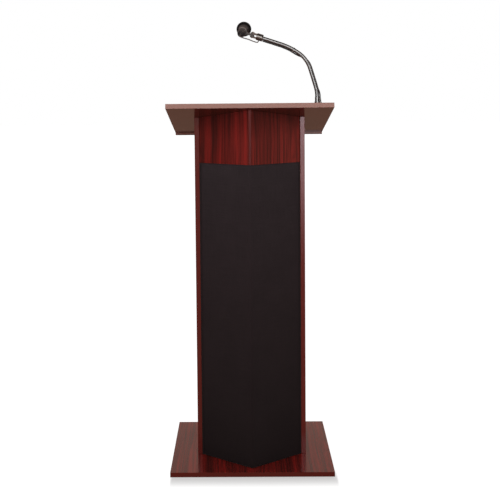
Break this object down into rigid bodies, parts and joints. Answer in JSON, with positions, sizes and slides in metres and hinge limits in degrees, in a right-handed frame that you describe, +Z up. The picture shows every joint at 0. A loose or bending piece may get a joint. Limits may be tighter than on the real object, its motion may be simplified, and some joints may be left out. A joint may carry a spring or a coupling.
{
  "type": "sound lectern",
  "caption": "Floor-standing wooden sound lectern with a V front, cloth loudspeaker grille, sloping reading top and gooseneck microphone.",
  "frame": {"origin": "centre of the whole footprint, on the floor (4 mm behind the centre of the base)", "axes": "+Z up; +Y towards the speaker's side (the low edge of the reading top); -Y towards the audience; +X to the audience's right"},
  "size_m": [0.559, 0.44, 1.5544],
  "materials": {
    "mahogany_laminate": "satin, dark red mahogany grain",
    "top_laminate": "semi-gloss, dark red mahogany grain",
    "black_board": "matt black paint on fibreboard",
    "grille_cloth": "fine woven acoustic cloth, matt",
    "plated_steel": "bright zinc plate",
    "black_steel": "satin black powder coat",
    "ferrite": "matt",
    "paper_cone": "pressed paper, matt",
    "pewter_chrome": "dark polished nickel",
    "black_rubber": "matt",
    "black_plastic": "moulded, lightly textured",
    "lamp_lens": "clear red lens",
    "circuit_board": "solder resist",
    "mic_body": "satin dark grey",
    "mic_mesh": "dark woven wire mesh",
    "capsule": "nickel"
  },
  "bodies": {
    "cabinet": {"base_plate": "top_laminate", "base_glides": "black_rubber", "base_screws": "plated_steel", "side_panel_left": "mahogany_laminate", "side_panel_right": "mahogany_laminate", "upper_front_left": "mahogany_laminate", "upper_front_right": "mahogany_laminate", "prow_corner_strip": "mahogany_laminate", "baffle_left": "black_board", "baffle_right": "black_board", "grille_frame_left": "black_board", "grille_frame_right": "black_board", "grille_cloth": "grille_cloth", "speaker_frames": "black_steel", "speaker_cones": "paper_cone", "speaker_magnets": "ferrite", "chamber_back": "mahogany_laminate", "amp_shelf": "mahogany_laminate", "lower_shelf": "mahogany_laminate", "bottom_rail": "mahogany_laminate", "amp_fascia": "mahogany_laminate", "control_panel": "black_steel", "amp_chassis": "black_steel", "amp_circuit_board": "circuit_board", "transformer": "black_steel", "potentiometers": "plated_steel", "power_switch_housing": "black_plastic", "power_lamp": "lamp_lens", "mains_inlet": "black_plastic", "line_jack": "plated_steel", "reading_top": "top_laminate", "paper_stop": "top_laminate", "top_brackets": "plated_steel", "bracket_screws": "plated_steel", "neck_flange": "black_steel", "flange_screws": "plated_steel", "mic_jack": "plated_steel", "mic_plug": "black_plastic"},
    "neck": {"neck_ferrule": "pewter_chrome"},
    "neck_low": {"neck_tube_1": "pewter_chrome", "mic_cable_1": "black_rubber"},
    "neck_mid": {"neck_tube_2": "pewter_chrome", "mic_cable_2": "black_rubber"},
    "neck_high": {"neck_tube_3": "pewter_chrome", "mic_cable_3": "black_rubber"},
    "neck_end": {"neck_tube_4": "pewter_chrome", "mic_cable_4": "black_rubber", "clip_base": "black_plastic", "clip_screw": "plated_steel"},
    "clip": {"clip_cradle": "black_plastic"},
    "microphone": {"mic_handle": "mic_body", "mic_grille": "mic_mesh", "mic_capsule": "capsule", "mic_tail_plug": "black_plastic"},
    "mic_thumb_switch": {"mic_switch": "black_plastic"},
    "mic_level": {"knob_mic": "black_plastic"},
    "line_level": {"knob_line": "black_plastic"},
    "bass": {"knob_bass": "black_plastic"},
    "treble": {"knob_treble": "black_plastic"},
    "power_switch": {"power_rocker": "black_plastic"}
  },
  "joints": [
    {"name": "neck_swivel", "type": "hinge", "parent": "cabinet", "child": "neck", "pos_m": [0.2286, -0.15764, 1.25599], "axis": [0, 0.2334, 0.9724], "range_deg": [-60, 60]},
    {"name": "neck_bend_1", "type": "hinge", "parent": "neck", "child": "neck_low", "pos_m": [0.2286, -0.14924, 1.291], "axis": [0, 0.9724, -0.2334], "range_deg": [-12, 12]},
    {"name": "neck_bend_2", "type": "hinge", "parent": "neck_low", "child": "neck_mid", "pos_m": [0.21357, -0.13215, 1.36219], "axis": [0, 0.9724, -0.2334], "range_deg": [-12, 12]},
    {"name": "neck_bend_3", "type": "hinge", "parent": "neck_mid", "child": "neck_high", "pos_m": [0.18243, -0.11647, 1.4275], "axis": [0, 0.9724, -0.2334], "range_deg": [-12, 12]},
    {"name": "neck_bend_4", "type": "hinge", "parent": "neck_high", "child": "neck_end", "pos_m": [0.11942, -0.10719, 1.46616], "axis": [0, 0.9724, -0.2334], "range_deg": [-12, 12]},
    {"name": "mic_tilt", "type": "hinge", "parent": "neck_end", "child": "clip", "pos_m": [0.01249, -0.09866, 1.50168], "axis": [-0.2841, 0.2081, -0.9359], "range_deg": [-75, 20]},
    {"name": "mic_slide", "type": "slide", "parent": "clip", "child": "microphone", "axis": [0.0821, 0.9779, 0.1925], "range_m": [-0.007, 0.012]},
    {"name": "mic_switch_slide", "type": "slide", "parent": "microphone", "child": "mic_thumb_switch", "axis": [0.0821, 0.9779, 0.1925], "range_m": [0, 0.004]},
    {"name": "mic_level_turn", "type": "hinge", "parent": "cabinet", "child": "mic_level", "pos_m": [0.11, 0.16201, 1.072], "axis": [0, 1, 0], "range_deg": [-150, 150]},
    {"name": "line_level_turn", "type": "hinge", "parent": "cabinet", "child": "line_level", "pos_m": [0.06, 0.16201, 1.072], "axis": [0, 1, 0], "range_deg": [-150, 150]},
    {"name": "bass_turn", "type": "hinge", "parent": "cabinet", "child": "bass", "pos_m": [0.01, 0.16201, 1.072], "axis": [0, 1, 0], "range_deg": [-150, 150]},
    {"name": "treble_turn", "type": "hinge", "parent": "cabinet", "child": "treble", "pos_m": [-0.04, 0.16201, 1.072], "axis": [0, 1, 0], "range_deg": [-150, 150]},
    {"name": "power_rocker_tip", "type": "hinge", "parent": "cabinet", "child": "power_switch", "pos_m": [-0.125, 0.16461, 1.03], "axis": [1, 0, 0], "range_deg": [0, 18]}
  ],
  "couplings": [
    {"joint": "neck_bend_2", "follows": "neck_bend_1", "ratio": 1},
    {"joint": "neck_bend_3", "follows": "neck_bend_1", "ratio": 1},
    {"joint": "neck_bend_4", "follows": "neck_bend_1", "ratio": 1}
  ]
}
